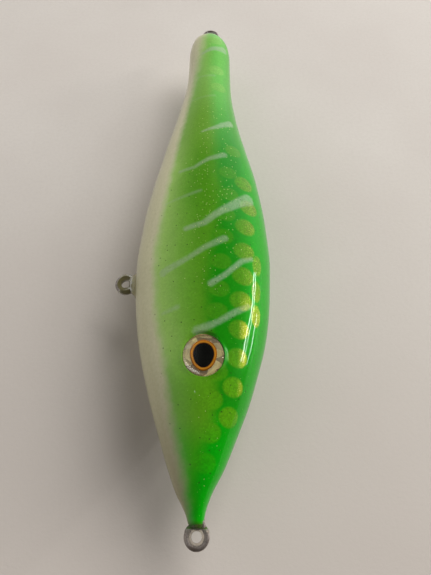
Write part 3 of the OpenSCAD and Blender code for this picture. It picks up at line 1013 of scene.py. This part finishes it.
def zip_rings(points, inner, outer):
    """Triangles between two rings with different numbers of points, the nearest joined to the nearest."""
    def angle(i):
        return math.atan2(points[i][1], points[i][0]) % (2 * math.pi)
    inner = sorted(inner, key=angle)
    outer = sorted(outer, key=angle)
    faces = []
    if len(inner) == 1:
        return [(inner[0], outer[k], outer[(k + 1) % len(outer)]) for k in range(len(outer))]
    i = j = 0
    while i < len(inner) or j < len(outer):
        a, b = inner[i % len(inner)], outer[j % len(outer)]
        next_inner = angle(inner[(i + 1) % len(inner)]) + (2 * math.pi if i + 1 >= len(inner) else 0)
        next_outer = angle(outer[(j + 1) % len(outer)]) + (2 * math.pi if j + 1 >= len(outer) else 0)
        if j >= len(outer) or (i < len(inner) and next_inner < next_outer):
            faces.append((a, b, inner[(i + 1) % len(inner)]))
            i += 1
        else:
            faces.append((a, b, outer[(j + 1) % len(outer)]))
            j += 1
    return faces


def eye_iris(side, material):
    """The printed ring round the pupil, a little raised in its middle."""
    shares = [0.0, 0.0, 0.25, 0.5, 0.75, 1.0, 1.0]
    heights = [0.0, 0.2, 0.26, 0.28, 0.26, 0.2, 0.0]
    count = 72
    points = [(x, y, FOIL_T + h) for share, h in zip(shares, heights)
              for x, y in egg_ring(-0.05 + share * (IRIS_BAND + 0.05), count)]
    faces = grid_faces(len(shares), count)
    last = (len(shares) - 1) * count
    for k in range(count):
        following = (k + 1) % count
        faces.append((following, last + following, last + k, k))
    piece = eye_piece("eye_iris", side, points, faces, material)
    add_attribute(piece, "outward", [share for share in shares for _ in range(count)])


def eye_pupil(side, material):
    """The black print in the middle, slightly domed."""
    rings = [(egg_ring(0), FOIL_T - 0.05), (egg_ring(0), FOIL_T + 0.2), (egg_ring(-0.12), FOIL_T + 0.27),
             (egg_ring(-0.8), FOIL_T + 0.34), (egg_ring(-1.8), FOIL_T + 0.38)]
    points, faces = stack_rings(rings)
    eye_piece("eye_pupil", side, points, faces, material)


def eye_dome(side, material):
    """Clear cap: a short rounded edge and a low spherical top."""
    edge = 0.45
    cap = DOME_H - edge
    ball = (EYE_R ** 2 + cap ** 2) / (2 * cap)
    widest = math.asin((EYE_R - 0.15) / ball)
    rings = [(circle(EYE_R - 0.3), FOIL_T + 0.02), (circle(EYE_R - 0.05), FOIL_T + 0.05),
             (circle(EYE_R - 0.02), FOIL_T + edge - 0.1)]
    for k in range(16):
        a = widest * (1 - k / 16)
        rings.append((circle(ball * math.sin(a)), FOIL_T + DOME_H - ball * (1 - math.cos(a))))
    points, faces = stack_rings(rings)
    eye_piece("eye_dome", side, points, faces, material)


# ---------------------------------------------------------------- stage, light and camera
def table(material):
    """The flat table under the lure, 0.7 m square."""
    reach, floor_z, middle_y = 350.0, -NOSE_AT[2] / MM, TAIL_RING[1] / 2
    corners = [(x * reach, middle_y + y * reach, floor_z) for x, y in ((-1, -1), (1, -1), (1, 1), (-1, 1))]
    new_piece("table", corners, [(0, 1, 2, 3)], material)


def direction(azimuth, elevation):
    """Unit vector from the lure towards a bearing (0 is the back, 90 the tail) and height, in degrees."""
    a, e = math.radians(azimuth), math.radians(elevation)
    return Vector((math.cos(e) * math.cos(a), math.cos(e) * math.sin(a), math.sin(e)))


def area_light(name, start, end, distance, width, power):
    """A rectangular lamp whose middle line runs between two directions from the lure. It doesn't shine
    through the eye domes, where a narrow lamp would leave sparks."""
    aim = Vector((0, -0.02, 0.015))
    first, last = distance * direction(*start), distance * direction(*end)
    middle = (first + last) / 2
    back = middle.normalized()
    side = (last - first).normalized()
    light = bpy.data.lights.new(name, "AREA")
    light.shape = "RECTANGLE"
    light.size, light.size_y = (last - first).length, width
    light.energy = power
    lamp = bpy.data.objects.new(name, light)
    lamp.visible_transmission = False
    lamp.matrix_world = (Matrix.Translation(aim + middle)
                         @ Matrix((side, back.cross(side), back)).transposed().to_4x4())
    bpy.context.scene.collection.objects.link(lamp)
    return lamp


def lights():
    """Broad window light from beyond the tail and the back, which shines through the eye domes too, and
    narrow bright gaps low beside it that leave their streaks in the gloss."""
    window = area_light("window", (25, 35), (79, 35), 2.4, 1.3, 50)
    side_window = area_light("side_window", (26, 4), (-6, 36), 2.5, 0.16, 17)
    for lamp in (window, side_window):
        lamp.visible_glossy = False
        lamp.visible_transmission = True
    area_light("gap", (21, 11.5), (-4, 22), 1.3, 0.034, 2.2)
    area_light("gap_edge", (21, 7.5), (-4, 16.5), 1.3, 0.026, 1.3)
    area_light("sill", (12, 1), (-4, 4), 1.3, 0.016, 0.9)
    area_light("ceiling_lamp", (-124, 70), (-120, 70), 1.2, 0.02, 0.03)


def room():
    """A pale room round the lure: bright beyond the tail and the back, dimmer at the belly's side, and
    dark overhead. The camera itself sees one plain pale wall all round."""
    walls = Paint("room", bpy.data.worlds)
    levels = []
    for way, low, high, level in (((0.5, 0.87, 0), 0.6, 0.98, 0.8), ((-1, 0.1, 0.15), 0.2, 0.9, 0.6)):
        feeds = {0: walls.coordinates["Generated"], 1: way}
        toward = walls.add("VectorMath", feeds, operation="DOT_PRODUCT").outputs["Value"]
        levels.append(walls.fade(toward, low, high, 0.045, level))
    seen = walls.add("LightPath").outputs["Is Camera Ray"]
    strength = walls.fade(seen, 0, 1, walls.plus(*levels), 0.72)
    background = walls.add("Background", {"Color": (0.98, 0.98, 0.96, 1), "Strength": strength})
    walls.add("OutputWorld", {"Surface": background.outputs[0]})
    bpy.context.scene.world = walls.owner


def camera():
    """The place and turn of the camera, found by fitting the lure's outline."""
    place = world((4.7, 16.2, 136.5))
    pitch, yaw, roll = math.radians(66.73), math.radians(0.6), math.radians(0.275)
    turn = Matrix.Rotation(yaw, 3, "Z")
    forward = turn @ Vector((0, math.cos(pitch), -math.sin(pitch)))
    right = turn @ Vector((1, 0, 0))
    up = right.cross(forward)
    right, up = math.cos(roll) * right + math.sin(roll) * up, math.cos(roll) * up - math.sin(roll) * right
    lens = bpy.data.cameras.new("camera")
    lens.lens = 27.05
    lens.sensor_width = 36
    lens.clip_start = 0.01
    eye = bpy.data.objects.new("camera", lens)
    facing = Matrix((right, up, -forward)).transposed().to_4x4()
    eye.matrix_world = Matrix.Translation(Vector(place)) @ facing
    bpy.context.scene.collection.objects.link(eye)
    bpy.context.scene.camera = eye


# ---------------------------------------------------------------- the scene
def dress(node, material):
    """Gives a CAD node that keeps its shape a material of its own."""
    part = frame["nodes"][node]
    part.data.materials.clear()
    part.data.materials.append(material)


def dress_hidden_parts():
    timber = wood()
    glue = speckled("wood_glue", rgb(196, 168, 100), rgb(226, 204, 142), 900)
    epoxy = speckled("bedding_epoxy", rgb(206, 182, 128), rgb(232, 214, 168), 600, rough=(0.12, 0.3))
    lead = speckled("lead", rgb(84, 86, 92), rgb(132, 134, 140), 900, metallic=0.9, rough=(0.45, 0.7))
    plug = speckled("filler", rgb(172, 140, 98), rgb(206, 176, 132), 1100, rough=(0.7, 0.9))
    looks = {"body_half_right": timber, "body_half_left": timber, "glue_line": glue, "wire_bedding": epoxy}
    for place in ("front", "middle", "rear"):
        looks[f"ballast_{place}"] = lead
        looks[f"filler_{place}"] = plug
    for node, material in looks.items():
        dress(node, material)


def eyes():
    foil, iris, pupil, resin = foil_metal(), iris_ink(), pupil_ink(), eye_resin()
    for side in (1, -1):
        eye_foil(side, foil)
        eye_iris(side, iris)
        eye_pupil(side, pupil)
        eye_dome(side, resin)


camera()
lights()
room()
table(table_top())
dress_hidden_parts()
painted_skin(lure_paint())
metal = wire_metal()
through_wire(metal)
belly_hanger(metal)
nose_collar(collar_resin("nose_resin", rgb(216, 208, 196), rgb(52, 84, 14), rgb(136, 122, 98), 0.85))
tail_collar(collar_resin("tail_resin", rgb(206, 210, 168), rgb(130, 178, 84), rgb(160, 160, 110), 0.85))
belly_foot(collar_resin("belly_resin", rgb(120, 112, 74), rgb(148, 140, 92), rgb(62, 70, 26), 0.35))
eyes()
bpy.context.scene.view_settings.view_transform = "Standard"
